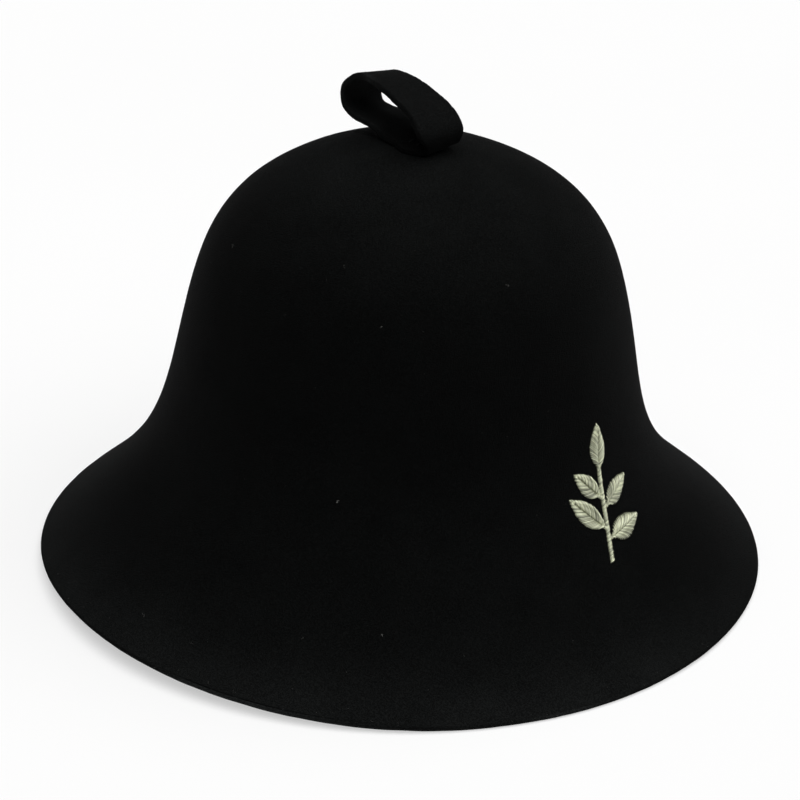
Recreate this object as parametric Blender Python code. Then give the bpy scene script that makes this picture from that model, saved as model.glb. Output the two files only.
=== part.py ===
"""Felt sauna hat: a one-piece bell of thick moulded felt, a felt strap folded into a
hanging loop on top of the crown, and a small stitched sprig on the front of the bell.

Units are metres in the scene; the sizes below are millimetres and degrees.
Frame: +Z up, the hat stands on its brim at z = 0, the front (the side with the sprig)
faces -Y. Azimuths are measured from the front towards +X, seen from above.
"""
import math

import bpy
import bmesh
from mathutils import Matrix, Vector, geometry

MM = 0.001

# ------------------------------------------------------------------ sizes of the bell
RIM_RADIUS = 160.2        # axis to the cut edge of the brim
FELT_LENGTH = 265.1       # along the felt, from the cut edge to the top of the crown
WALL = 3.0                # thickness of the felt
EDGE_ROUND = 0.4          # the cut edge's upper corner is worn round by this much
EDGE_LAND = 1.0           # strip each side of the lower corner that flattens at rest
FLATTENED = 0.9           # how far the brim's low places are pressed flat
BRIM_SHARE = 0.40         # share of the felt's length over which the brim's waves fade
ASIDE_AZIMUTH = 40.0      # direction in which the sections sit off the axis
SEAT_TILT = 0.6           # lean that brings the brim's low places down together
SEAT_AZIMUTH = 178.0      # the crown leans away from this azimuth by that much

# The felt in even steps from the cut edge to the top of the crown.
# columns: slope from level (degrees), offset of the section's centre (mm)
SECTIONS = (
    (40.0, 0.7),          # cut edge of the brim
    (40.0, 0.7),
    (43.5, 0.5),
    (50.5, 0.2),
    (62.0, 0.1),          # brim turns up into the side
    (73.0, 0.2),
    (78.5, 0.5),
    (78.5, 0.8),          # straight side
    (76.0, 1.0),
    (69.0, 1.1),
    (53.5, 1.0),          # shoulder of the crown
    (36.5, 0.7),
    (26.0, 0.2),
    (17.0, -0.5),
    (8.5, -1.5),
    (0.0, -2.7),          # top of the crown
)

# Gentle waves of the brim.
# columns: waves in one turn, lift at a crest (mm), azimuth of a crest (degrees)
BRIM_WAVES = (
    (2, 2.4, -76.0),
    (3, 1.8, 11.5),
)
BRIM_OVAL = (0.008, -54.0)    # share by which the brim is longer, along this azimuth

# ------------------------------------------------------------- how finely it is faceted
TURNS = 64                # steps round the bell
OUTER_STEPS = 26          # steps along the outer face, cut edge to top
INNER_STEPS = 22          # steps along the inner face
GAP = 0.3                 # room left between one piece and the next

# ------------------------------------------------------------------ hanging loop
LOOP_WIDTH = 23.7         # width of the felt strap
LOOP_THICK = 3.0          # its thickness
LOOP_TURN = -13.0         # the loop's own plane is square to this direction from +X
LOOP_FOOT = (-0.7, -13.2) # x, y under the middle of the fold, in front of the crown's top
LOOP_STEPS = 48           # steps along the strap
LOOP_ACROSS = 6           # steps across it
LOOP_CLOSE = 1.2          # nearer than this to the crown the strap settles onto it
FOLD_PINCH = 6.0          # so much narrower where it is folded and sewn down
FOLD_REACH = 0.042        # share of the strap over which it narrows
FOLD_SIDE = 0.3           # it narrows mostly from its -X edge

# The middle line of the strap, once round from its fold. It lies back along the crown,
# turns over at the back and comes forward and down again, twisting a little on its way.
# columns: distance back from the fold (mm), height over the fold's foot (mm),
#          drop of the strap's +X edge (mm), direction across the strap (degrees from +X)
LOOP_COURSE = (
    (-3.0, 3.0, -2.6, -12.3),
    (4.6, 3.6, -2.5, -12.2),
    (12.2, 4.6, -1.6, -11.6),
    (19.8, 4.8, -0.6, -10.6),
    (27.4, 4.9, 0.4, -9.2),
    (35.0, 4.9, 1.2, -7.5),
    (42.5, 4.8, 2.1, -5.5),
    (49.6, 6.6, 3.5, -3.6),
    (51.0, 13.5, 3.8, -2.8),
    (46.1, 18.9, 3.6, -2.7),
    (39.7, 22.2, 3.8, -3.4),
    (32.6, 22.9, 3.6, -4.6),
    (25.6, 22.4, 2.9, -6.0),
    (18.5, 21.3, 2.4, -7.4),
    (11.6, 19.4, 2.0, -8.6),
    (4.7, 17.6, 2.0, -9.4),
    (-1.3, 14.1, 1.1, -10.3),
    (-5.0, 8.6, -1.0, -11.6),
)

# ------------------------------------------------------------------ stitched sprig
SPRIG_ALONG = 80.0        # distance of its middle from the cut edge, along the felt
SPRIG_FOOT = -29.0        # the stem's foot lies this far below the middle
SPRIG_LEAN = 15.0         # the stem leans this far towards +X
SPRIG_THICK = 0.6         # thread standing on the felt
SPRIG_GRID = 5.0          # largest facet, so that it follows the bell
STEM_LENGTH = 38.0
STEM_WIDTH = 2.2
STEM_BOW = 2.0            # sideways bow of the stem
STEM_STEPS = 12
LEAF_STEPS = 8            # steps from a leaf's stalk to its tip
STALK_WIDTH = 1.6
STALK_LENGTH = 1.6

# columns: place on the stem (0 foot, 1 tip), side (+1 to +X), angle from the stem
# (degrees), length (mm), width (mm)
LEAVES = (
    (0.26, 1, 62.0, 22.5, 9.8),
    (0.37, -1, 60.0, 22.5, 9.8),
    (0.60, 1, 54.0, 20.0, 9.0),
    (0.71, -1, 52.0, 19.0, 8.6),
    (1.00, 0, 0.0, 20.0, 9.6),
)


# ------------------------------------------------------------------ small helpers
def smooth_step(t):
    t = min(max(t, 0.0), 1.0)
    return t * t * (3.0 - 2.0 * t)


def through(values, t):
    """A smooth curve through evenly spaced values, read at t from 0 to 1."""
    last = len(values) - 1
    s = min(max(t, 0.0), 1.0) * last
    i = min(int(s), last - 1)
    f = s - i
    b, c = values[i], values[i + 1]
    a = values[i - 1] if i > 0 else 2 * b - c
    d = values[i + 2] if i + 2 <= last else 2 * c - b
    return 0.5 * (2 * b + (c - a) * f + (2 * a - 5 * b + 4 * c - d) * f * f
                  + (3 * b - a - 3 * c + d) * f ** 3)


def round_through(points, t):
    """A smooth closed curve through points, read at t from 0 to 1."""
    n = len(points)
    s = (t % 1.0) * n
    i = int(s) % n
    f = s - int(s)
    a, b, c, d = (points[(i + k) % n] for k in (-1, 0, 1, 2))
    return tuple(0.5 * (2 * q + (r - p) * f + (2 * p - 5 * q + 4 * r - w) * f * f
                        + (3 * q - p - 3 * r + w) * f ** 3)
                 for p, q, r, w in zip(a, b, c, d))


def heading(azimuth):
    """Level unit vector towards an azimuth in degrees."""
    a = math.radians(azimuth)
    return Vector((math.sin(a), -math.cos(a), 0.0))


# ------------------------------------------------------------------ shape of the bell
def turned_profile(steps=530):
    """Radius and height along the felt, summed up from the slopes in SECTIONS."""
    slopes = [row[0] for row in SECTIONS]
    ds = FELT_LENGTH / steps
    rows = [(RIM_RADIUS, 0.0)]
    for k in range(steps):
        s = math.radians(through(slopes, (k + 0.5) / steps))
        rows.append((rows[-1][0] - ds * math.cos(s), rows[-1][1] + ds * math.sin(s)))
    left = rows[-1][0]                       # brings the last point onto the axis
    return [(r - left * (k / steps) ** 3, z) for k, (r, z) in enumerate(rows)]


PROFILE = turned_profile()


def profile_at(t):
    last = len(PROFILE) - 1
    s = min(max(t, 0.0), 1.0) * last
    i = min(int(s), last - 1)
    f = s - i
    (r0, z0), (r1, z1) = PROFILE[i], PROFILE[i + 1]
    return r0 + (r1 - r0) * f, z0 + (z1 - z0) * f


def bell_point(t, azimuth, depth=0.0):
    """A point of the felt: t along it (0 cut edge, 1 top), depth below its outer face."""
    r, z = profile_at(t)
    slope = math.radians(through([row[0] for row in SECTIONS], t))
    r -= depth * math.sin(slope)
    z -= depth * math.cos(slope)
    near_rim = 1.0 - smooth_step(t / BRIM_SHARE)
    share, longest = BRIM_OVAL
    r *= 1.0 + near_rim * share * math.cos(2 * math.radians(azimuth - longest))
    for count, lift, crest in BRIM_WAVES:
        z += near_rim * lift * math.cos(count * math.radians(azimuth - crest))
    aside = through([row[1] for row in SECTIONS], t)
    return heading(azimuth) * r + heading(ASIDE_AZIMUTH) * aside + Vector((0, 0, z))


TILT = Matrix.Rotation(math.radians(SEAT_TILT), 3, Vector((0, 0, 1)).cross(heading(SEAT_AZIMUTH)).normalized()).inverted()


def seat():
    """Shift that stands the leaning bell on z = 0 with the origin in the middle."""
    edge = [TILT @ bell_point(0.0, 360.0 * k / 360, d) for k in range(360)
            for d in (EDGE_ROUND, WALL)]
    return Vector((-(min(p.x for p in edge) + max(p.x for p in edge)) / 2,
                   -(min(p.y for p in edge) + max(p.y for p in edge)) / 2,
                   -min(p.z for p in edge) - FLATTENED))


SEAT = seat()


def placed(p):
    return TILT @ p + SEAT


def crown_height(x, y):
    """Height of the bell's outer face over a place near the top of the crown."""
    t, high = 1.0, 184.0
    for _ in range(6):
        flat = TILT.inverted() @ (Vector((x, y, high)) - SEAT)
        aside = through([row[1] for row in SECTIONS], t)
        off = Vector((flat.x, flat.y, 0.0)) - heading(ASIDE_AZIMUTH) * aside
        lo, hi = 0.5, 1.0
        for _ in range(30):
            mid = (lo + hi) / 2
            lo, hi = (mid, hi) if profile_at(mid)[0] > off.length else (lo, mid)
        t = (lo + hi) / 2
        high = placed(bell_point(t, math.degrees(math.atan2(off.x, -off.y)))).z
    return high


# ------------------------------------------------------------------ making objects
def clear_scene():
    for old in list(bpy.data.objects):
        bpy.data.objects.remove(old, do_unlink=True)


def material(name, colour, roughness):
    mat = bpy.data.materials.new(name)
    mat.use_nodes = True
    shader = mat.node_tree.nodes["Principled BSDF"]
    shader.inputs["Base Color"].default_value = (*colour, 1.0)
    shader.inputs["Roughness"].default_value = roughness
    shader.inputs["Metallic"].default_value = 0.0
    return mat


def add_object(name, points, faces, mat, parent, sharp=50.0):
    mesh = bpy.data.meshes.new(name)
    work = bmesh.new()
    verts = [work.verts.new(p * MM) for p in points]
    for face in faces:
        work.faces.new([verts[i] for i in face])
    bmesh.ops.triangulate(work, faces=work.faces[:])
    bmesh.ops.recalc_face_normals(work, faces=work.faces[:])
    work.to_mesh(mesh)
    work.free()
    mesh.shade_smooth()
    mesh.set_sharp_from_angle(angle=math.radians(sharp))
    mesh.materials.append(mat)
    obj = bpy.data.objects.new(name, mesh)
    bpy.context.collection.objects.link(obj)
    obj.parent = parent
    return obj


# ------------------------------------------------------------------ the felt bell
def build_bell(parent):
    # one section of the wall, from just under the top inside, round the cut edge,
    # to just under the top outside: (t along the felt, depth under the outer face)
    land = EDGE_LAND / FELT_LENGTH
    section = [(1.0 - k / INNER_STEPS, WALL) for k in range(1, INNER_STEPS)]
    section += [(land, WALL), (0.0, WALL), (0.0, WALL - EDGE_LAND), (0.0, EDGE_ROUND),
                (EDGE_ROUND / FELT_LENGTH, 0.0)]
    section += [(k / OUTER_STEPS, 0.0) for k in range(1, OUTER_STEPS)]
    edge_rows = range(INNER_STEPS - 1, INNER_STEPS + 2)

    points, faces = [], []
    for row, (t, depth) in enumerate(section):
        for k in range(TURNS):
            p = placed(bell_point(t, 360.0 * k / TURNS, depth))
            if row in edge_rows and p.z < 0.0:
                p.z = 0.0                    # the felt is flat where it rests
            points.append(p)
    rows = len(section)
    for row in range(rows - 1):
        for k in range(TURNS):
            n = (k + 1) % TURNS
            faces.append((row * TURNS + k, row * TURNS + n,
                          (row + 1) * TURNS + n, (row + 1) * TURNS + k))
    for row, depth in ((0, WALL), (rows - 1, 0.0)):
        points.append(placed(bell_point(1.0, 0.0, depth)))
        faces += [(row * TURNS + k, row * TURNS + (k + 1) % TURNS, len(points) - 1)
                  for k in range(TURNS)]
    return add_object("felt_body", points, faces,
                      material("black_wool_felt", (0.006, 0.0065, 0.0065), 0.95), parent)


# ------------------------------------------------------------------ the hanging loop
def build_loop(parent):
    back = heading(180.0 + LOOP_TURN)
    foot = Vector((LOOP_FOOT[0], LOOP_FOOT[1], 0.0))
    foot.z = crown_height(foot.x, foot.y)

    points, faces = [], []
    for i in range(LOOP_STEPS):
        t = i / LOOP_STEPS
        v, h, drop, turn = round_through(LOOP_COURSE, t)
        ahead = round_through(LOOP_COURSE, t + 0.002)
        behind = round_through(LOOP_COURSE, t - 0.002)
        along = Vector((ahead[0] - behind[0], ahead[1] - behind[1])).normalized()
        out = back * along.y + Vector((0.0, 0.0, -along.x))
        from_fold = (t + 0.51) % 1.0 - 0.5
        share = 1.0 - FOLD_PINCH / LOOP_WIDTH * math.exp(-(from_fold / FOLD_REACH) ** 2)
        across = heading(90.0 + turn) * math.sqrt(LOOP_WIDTH ** 2 - drop ** 2)
        across.z = -drop
        for side in (1, -1):
            for j in range(LOOP_ACROSS + 1):
                s = (j / LOOP_ACROSS - 0.5) * share + FOLD_SIDE * (1.0 - share)
                mid = foot + back * v + across * s
                mid.z += h
                low = crown_height(mid.x, mid.y) + GAP + LOOP_THICK / 2
                short = (LOOP_CLOSE - (mid.z - low)) / LOOP_CLOSE
                if short >= 2.0:             # rests on the crown and follows it
                    mid.z = low
                elif short > 0.0:
                    mid.z += LOOP_CLOSE * short * short / 4.0
                points.append(mid + out * (side * LOOP_THICK / 2))
    wide = LOOP_ACROSS + 1
    ring = 2 * wide
    for i in range(LOOP_STEPS):
        n = (i + 1) % LOOP_STEPS
        order = list(range(wide)) + [ring - 1 - j for j in range(wide)]
        for a, b in zip(order, order[1:] + order[:1]):
            faces.append((i * ring + a, i * ring + b, n * ring + b, n * ring + a))
    return add_object("hanging_loop", points, faces,
                      material("black_felt_strap", (0.008, 0.0085, 0.0085), 0.95), parent)


# ------------------------------------------------------------------ the stitched sprig
def stem_point(t):
    """Middle of the stem and its direction, in the sprig's own flat frame."""
    y = SPRIG_FOOT + t * STEM_LENGTH
    x = STEM_BOW * math.sin(math.pi * t)
    slope = STEM_BOW * math.pi * math.cos(math.pi * t) / STEM_LENGTH
    return Vector((x, y)), Vector((slope, 1.0)).normalized()


def leaf_half_width(d, length, width):
    """Half width of a leaf at distance d from the stem."""
    if d <= STALK_LENGTH:
        return STALK_WIDTH / 2
    f = (d - STALK_LENGTH) / (length - STALK_LENGTH)
    bulge = math.sin(math.pi * f ** 0.8) ** 0.9
    return max(STALK_WIDTH / 2 * (1.0 - f), width / 2 * bulge)


def leaf_edge(root, aim, length, width):
    """Once round a leaf, out along its right edge and back along its left."""
    left = Vector((-aim.y, aim.x))
    dist = [0.0, STALK_LENGTH] + [STALK_LENGTH + (length - STALK_LENGTH) * k / LEAF_STEPS
                                  for k in range(1, LEAF_STEPS)]
    out = [root + aim * d - left * leaf_half_width(d, length, width) for d in dist]
    home = [root + aim * d + left * leaf_half_width(d, length, width) for d in dist]
    return out + [root + aim * length] + home[::-1]


def sprig_outline():
    """One closed line round the stem and all its leaves, in the flat frame."""
    def turned(v, degrees):
        c, s = math.cos(math.radians(degrees)), math.sin(math.radians(degrees))
        return Vector((v.x * c - v.y * s, v.x * s + v.y * c))

    line = []
    for side in (1, -1):
        marks = [(k / STEM_STEPS, None) for k in range(STEM_STEPS)]
        leaves = [leaf for leaf in LEAVES if leaf[1] == side]
        reach = 1.6 * STALK_WIDTH / STEM_LENGTH
        marks = [m for m in marks if all(abs(m[0] - leaf[0]) > reach for leaf in leaves)]
        marks = sorted(marks + [(leaf[0], leaf) for leaf in leaves], key=lambda m: m[0],
                       reverse=side < 0)
        for t, leaf in marks:
            mid, up = stem_point(t)
            right = Vector((up.y, -up.x))
            wall = mid + right * side * STEM_WIDTH / 2
            if leaf is None:
                line.append(wall)
            else:
                root = mid + right * side * (STEM_WIDTH / 2 - 0.2)
                line += leaf_edge(root, turned(up, -side * leaf[2]), leaf[3], leaf[4])
        if side > 0:
            top = [leaf for leaf in LEAVES if leaf[1] == 0][0]
            mid, up = stem_point(1.0)
            line += leaf_edge(mid, up, top[3], top[4])
    return line


def build_sprig(parent):
    flat = bmesh.new()
    outline = [Vector((p.x, p.y, 0.0)) for p in sprig_outline()]
    corners = [flat.verts.new(p) for p in outline]
    for tri in geometry.tessellate_polygon([outline]):
        flat.faces.new([corners[i] for i in tri])
    reach = int(40 / SPRIG_GRID)
    for axis in (Vector((1, 0, 0)), Vector((0, 1, 0))):
        for k in range(-reach, reach + 1):
            bmesh.ops.bisect_plane(flat, geom=flat.verts[:] + flat.edges[:] + flat.faces[:],
                                   dist=1e-4, plane_co=axis * (k * SPRIG_GRID), plane_no=axis)
    bmesh.ops.remove_doubles(flat, verts=flat.verts[:], dist=1e-3)
    bmesh.ops.triangulate(flat, faces=flat.faces[:])
    flat.verts.index_update()

    lean = math.radians(SPRIG_LEAN)

    def on_bell(p, lift):
        x = p.x * math.cos(lean) + p.y * math.sin(lean)
        y = -p.x * math.sin(lean) + p.y * math.cos(lean)
        t = (SPRIG_ALONG + y) / FELT_LENGTH
        return placed(bell_point(t, math.degrees(x / profile_at(t)[0]), -lift))

    count = len(flat.verts)
    points = [on_bell(v.co, GAP) for v in flat.verts]
    points += [on_bell(v.co, GAP + SPRIG_THICK) for v in flat.verts]
    faces = []
    for f in flat.faces:
        ids = [v.index for v in f.verts]
        faces += [ids, [i + count for i in reversed(ids)]]
    for e in flat.edges:
        if len(e.link_faces) == 1:
            a, b = (v.index for v in e.verts)
            faces.append((a, b, b + count, a + count))
    flat.free()
    return add_object("embroidered_sprig", points, faces,
                      material("pale_sage_thread", (0.52, 0.52, 0.38), 0.45), parent)


def main():
    clear_scene()
    hat = bpy.data.objects.new("sauna_hat", None)
    bpy.context.collection.objects.link(hat)
    build_bell(hat)
    build_loop(hat)
    build_sprig(hat)


main()
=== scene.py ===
"""Sauna hat of thick black moulded felt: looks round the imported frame.

Frame: metres, +Z up, the hat stands on its brim at z = 0, the stitched front faces -Y.
The sizes below are millimetres and degrees, and repeat the hat's own shape.
"""

import math

import bpy
import numpy as np
from mathutils import Matrix, Vector


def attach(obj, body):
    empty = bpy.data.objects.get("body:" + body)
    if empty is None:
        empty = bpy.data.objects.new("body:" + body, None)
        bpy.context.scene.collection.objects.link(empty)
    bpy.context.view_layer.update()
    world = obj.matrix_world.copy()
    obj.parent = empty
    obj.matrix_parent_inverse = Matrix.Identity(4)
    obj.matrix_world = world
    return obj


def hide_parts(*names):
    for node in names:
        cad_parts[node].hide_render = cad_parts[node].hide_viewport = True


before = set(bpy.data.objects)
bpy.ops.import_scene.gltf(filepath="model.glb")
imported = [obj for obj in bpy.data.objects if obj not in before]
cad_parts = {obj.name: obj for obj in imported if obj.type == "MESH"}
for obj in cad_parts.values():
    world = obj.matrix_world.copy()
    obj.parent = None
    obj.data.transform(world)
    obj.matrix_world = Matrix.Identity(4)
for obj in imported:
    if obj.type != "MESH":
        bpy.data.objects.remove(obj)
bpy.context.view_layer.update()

MM = 0.001

# ------------------------------------------------------------------ sizes of the bell
RIM_RADIUS = 160.2
FELT_LENGTH = 265.1
WALL = 3.0
EDGE_ROUND = 0.4
FLATTENED = 0.9
BRIM_SHARE = 0.40
ASIDE_AZIMUTH = 40.0
SEAT_TILT = 0.6
SEAT_AZIMUTH = 178.0

# The felt in even steps from the cut edge to the top of the crown.
# columns: slope from level (degrees), offset of the section's centre (mm)
SECTIONS = (
    (40.0, 0.7),
    (40.0, 0.7),
    (43.5, 0.5),
    (50.5, 0.2),
    (62.0, 0.1),
    (73.0, 0.2),
    (78.5, 0.5),
    (78.5, 0.8),
    (76.0, 1.0),
    (69.0, 1.1),
    (53.5, 1.0),
    (36.5, 0.7),
    (26.0, 0.2),
    (17.0, -0.5),
    (8.5, -1.5),
    (0.0, -2.7),
)

# columns: waves in one turn, lift at a crest (mm), azimuth of a crest (degrees)
BRIM_WAVES = (
    (2, 2.4, -76.0),
    (3, 1.8, 11.5),
)
BRIM_OVAL = (0.008, -54.0)

# painted light and shade by height, in even steps from the cut edge to the top: darker over the brim and
# walls, palest on the crown, as more light falls from above
PAINTED_SHADING_BY_HEIGHT = (1.0, 0.86, 0.77, 0.80, 0.69, 0.61, 0.65, 0.88, 1.08, 1.20, 1.20)

# columns: place along the felt (0 cut edge, 1 top), azimuth (degrees), flecks, spread (mm),
#          how pale (0 to 1)
LINT_TUFTS = (
    (0.0025, -30.0, 2, 0.30, 0.59),
    (0.0031, -33.3, 2, 0.30, 0.59),
    (0.0050, -55.5, 2, 0.30, 0.55),
    (0.0063, -73.1, 3, 0.35, 0.57),
    (0.0069, -49.5, 3, 0.30, 0.57),
    (0.0069, -60.2, 3, 0.35, 0.57),
    (0.0075, -53.3, 3, 0.30, 0.68),
    (0.0081, -111.4, 3, 0.30, 0.59),
    (0.0100, -61.3, 4, 0.45, 0.66),
    (0.0106, -83.5, 4, 0.55, 0.57),
    (0.0112, -74.0, 4, 0.45, 0.66),
    (0.0125, -81.6, 3, 0.35, 0.55),
    (0.0131, -78.3, 3, 0.30, 0.63),
    (0.0144, -13.5, 3, 0.30, 0.59),
    (0.0144, 3.7, 3, 0.30, 0.57),
    (0.0375, -64.8, 2, 0.30, 0.63),
    (0.0406, -65.7, 3, 0.30, 0.57),
    (0.0600, -83.9, 3, 0.30, 0.63),
    (0.0638, -95.1, 3, 0.30, 0.70),
    (0.0719, -81.6, 3, 0.30, 0.59),
    (0.0800, -57.7, 2, 0.30, 0.61),
    (0.1206, -65.9, 3, 0.30, 0.66),
    (0.1425, -52.7, 5, 0.28, 0.80),
    (0.2975, -118.4, 2, 0.30, 0.55),
    (0.3375, -64.0, 7, 0.32, 0.93),
    (0.5944, 30.9, 3, 0.30, 0.59),
    (0.6006, -84.6, 3, 0.30, 0.62),
    (0.6050, -46.4, 2, 0.30, 0.60),
    (0.6119, -56.9, 4, 0.35, 0.74),
    (0.6594, -114.7, 6, 0.55, 0.74),
    (0.6644, -20.5, 5, 0.35, 0.70),
    (0.6963, -70.6, 3, 0.30, 0.59),
    (0.9031, 20.6, 2, 0.30, 0.59),
    (0.9725, -90.2, 3, 0.20, 0.78),
)

# ------------------------------------------------------------------ hanging loop
LOOP_WIDTH = 23.7
LOOP_THICK = 3.0
LOOP_TURN = -13.0
LOOP_FOOT = (-0.7, -13.2)
LOOP_CLOSE = 1.2
LOOP_GAP = 0.3
FOLD_PINCH = 6.0
FOLD_REACH = 0.042
FOLD_SIDE = 0.3

# columns: distance back from the fold (mm), height over the fold's foot (mm),
#          drop of the strap's +X edge (mm), direction across the strap (degrees from +X)
LOOP_COURSE = (
    (-3.0, 3.0, -2.6, -12.3),
    (4.6, 3.6, -2.5, -12.2),
    (12.2, 4.6, -1.6, -11.6),
    (19.8, 4.8, -0.6, -10.6),
    (27.4, 4.9, 0.4, -9.2),
    (35.0, 4.9, 1.2, -7.5),
    (42.5, 4.8, 2.1, -5.5),
    (49.6, 6.6, 3.5, -3.6),
    (51.0, 13.5, 3.8, -2.8),
    (46.1, 18.9, 3.6, -2.7),
    (39.7, 22.2, 3.8, -3.4),
    (32.6, 22.9, 3.6, -4.6),
    (25.6, 22.4, 2.9, -6.0),
    (18.5, 21.3, 2.4, -7.4),
    (11.6, 19.4, 2.0, -8.6),
    (4.7, 17.6, 2.0, -9.4),
    (-1.3, 14.1, 1.1, -10.3),
    (-5.0, 8.6, -1.0, -11.6),
)

# ------------------------------------------------------------------ stitched sprig
SPRIG_ALONG = 80.0
SPRIG_FOOT = -29.0
SPRIG_LEAN = 15.0
STEM_LENGTH = 38.0
STEM_WIDTH = 2.2
STEM_BOW = 2.0
STALK_WIDTH = 1.6
STALK_LENGTH = 1.6
THREAD = 0.50             # width of one thread
THREAD_PITCH = 0.45       # from one thread to the next, so that they touch

# columns: place on the stem (0 foot, 1 tip), side (+1 to +X), angle from the stem
# (degrees), length (mm), width (mm)
LEAVES = (
    (0.26, 1, 62.0, 22.5, 9.8),
    (0.37, -1, 60.0, 22.5, 9.8),
    (0.60, 1, 54.0, 20.0, 9.0),
    (0.71, -1, 52.0, 19.0, 8.6),
    (1.00, 0, 0.0, 20.0, 9.6),
)

rng = np.random.default_rng(5064)


# ------------------------------------------------------------------ small helpers
def unit(v):
    return v / np.maximum(np.linalg.norm(v, axis=-1, keepdims=True), 1e-12)


def smooth_step(t):
    t = np.clip(t, 0.0, 1.0)
    return t * t * (3.0 - 2.0 * t)


def spline(a, b, c, d, f):
    return 0.5 * (2 * b + (c - a) * f + (2 * a - 5 * b + 4 * c - d) * f * f
                  + (3 * b - a - 3 * c + d) * f ** 3)


def through(values, t):
    """A smooth curve through evenly spaced values, read at t from 0 to 1."""
    v = np.asarray(values, float)
    v = np.concatenate([[2 * v[0] - v[1]], v, [2 * v[-1] - v[-2]]])
    last = len(values) - 1
    s = np.clip(t, 0.0, 1.0) * last
    i = np.minimum(s.astype(int), last - 1)
    return spline(v[i], v[i + 1], v[i + 2], v[i + 3], s - i)


def round_through(points, t):
    """A smooth closed curve through points, read at t from 0 to 1."""
    v = np.asarray(points, float)
    n = len(v)
    s = (np.asarray(t, float) % 1.0) * n
    i = s.astype(int) % n
    f = (s - np.floor(s))[..., None]
    return spline(v[(i - 1) % n], v[i], v[(i + 1) % n], v[(i + 2) % n], f)


def heading(azimuth):
    a = np.radians(azimuth)
    return np.stack([np.sin(a), -np.cos(a), np.zeros_like(a)], -1)


def lattice(i, seed):
    """A fixed number from -1 to 1 for each point of a cubic grid."""
    h = (i[..., 0] * 374761393 + i[..., 1] * 668265263 + i[..., 2] * 1274126177
         + seed * 362437) & 0xFFFFFFFF
    h = ((h ^ (h >> 13)) * 1274126177) & 0xFFFFFFFF
    return ((h ^ (h >> 16)) & 0xFFFF) / 32767.5 - 1.0


def soft_noise(p, size, seed=0):
    """Smooth noise from about -1 to 1 with lumps of the given size."""
    q = p / size + 1000.0
    i = np.floor(q).astype(np.int64)
    f = q - i
    f = f * f * (3.0 - 2.0 * f)
    total = 0.0
    for dx in (0, 1):
        for dy in (0, 1):
            for dz in (0, 1):
                w = (np.abs(1 - dx - f[..., 0]) * np.abs(1 - dy - f[..., 1])
                     * np.abs(1 - dz - f[..., 2]))
                total = total + w * lattice(i + np.array((dx, dy, dz)), seed)
    return total


# ------------------------------------------------------------------ shape of the bell
def turned_profile(steps=530):
    slopes = [row[0] for row in SECTIONS]
    ds = FELT_LENGTH / steps
    s = np.radians(through(slopes, (np.arange(steps) + 0.5) / steps))
    r = RIM_RADIUS - np.concatenate([[0.0], np.cumsum(ds * np.cos(s))])
    z = np.concatenate([[0.0], np.cumsum(ds * np.sin(s))])
    k = np.arange(steps + 1) / steps
    return k, r - r[-1] * k ** 3, z


PROFILE = turned_profile()


def profile_at(t):
    return np.interp(t, PROFILE[0], PROFILE[1]), np.interp(t, PROFILE[0], PROFILE[2])


def bell_point(t, azimuth, depth):
    """Points of the felt: t along it (0 cut edge, 1 top), depth below its outer face."""
    t, azimuth, depth = np.broadcast_arrays(*[np.asarray(a, float)
                                              for a in (t, azimuth, depth)])
    r, z = profile_at(t)
    slope = np.radians(through([row[0] for row in SECTIONS], t))
    r = r - depth * np.sin(slope)
    z = z - depth * np.cos(slope)
    near_rim = 1.0 - smooth_step(t / BRIM_SHARE)
    share, longest = BRIM_OVAL
    r = r * (1.0 + near_rim * share * np.cos(2 * np.radians(azimuth - longest)))
    for count, lift, crest in BRIM_WAVES:
        z = z + near_rim * lift * np.cos(count * np.radians(azimuth - crest))
    aside = through([row[1] for row in SECTIONS], t)
    p = heading(azimuth) * r[..., None] + heading(np.array(ASIDE_AZIMUTH)) * aside[..., None]
    p[..., 2] += z
    return p


def tilt_matrix():
    to = heading(np.array(SEAT_AZIMUTH))
    axis = Vector((0, 0, 1)).cross(Vector(to)).normalized()
    return np.array(Matrix.Rotation(math.radians(SEAT_TILT), 3, axis).inverted(), float)


TILT = tilt_matrix()


def seat():
    """Shift that stands the leaning bell on z = 0 with the origin in the middle."""
    turn = np.arange(360.0)
    edge = np.concatenate([bell_point(0.0, turn, EDGE_ROUND),
                           bell_point(0.0, turn, WALL)]) @ TILT.T
    lo, hi = edge.min(0), edge.max(0)
    return np.array([-(lo[0] + hi[0]) / 2, -(lo[1] + hi[1]) / 2, -lo[2] - FLATTENED])


SEAT = seat()


def placed(p):
    return p @ TILT.T + SEAT


def felt_at(t, azimuth, depth=0.0):
    return placed(bell_point(t, azimuth, depth))


def felt_normal(t, azimuth):
    """Outward normal of the bell's outer face."""
    along = felt_at(t + 0.002, azimuth) - felt_at(t - 0.002, azimuth)
    round_ = felt_at(t, azimuth + 0.3) - felt_at(t, azimuth - 0.3)
    return unit(np.cross(round_, along))


def crown_height(x, y):
    """Height of the bell's outer face over places near the top of the crown."""
    high = np.full(np.shape(x), 184.0)
    t = np.ones(np.shape(x))
    for _ in range(6):
        flat = (np.stack([x, y, high], -1) - SEAT) @ TILT
        aside = through([row[1] for row in SECTIONS], t)
        off = flat - heading(np.array(ASIDE_AZIMUTH)) * aside[..., None]
        far = np.hypot(off[..., 0], off[..., 1])
        t = np.interp(-far, -PROFILE[1], PROFILE[0])
        high = felt_at(t, np.degrees(np.arctan2(off[..., 0], -off[..., 1])))[..., 2]
    return high


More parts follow.
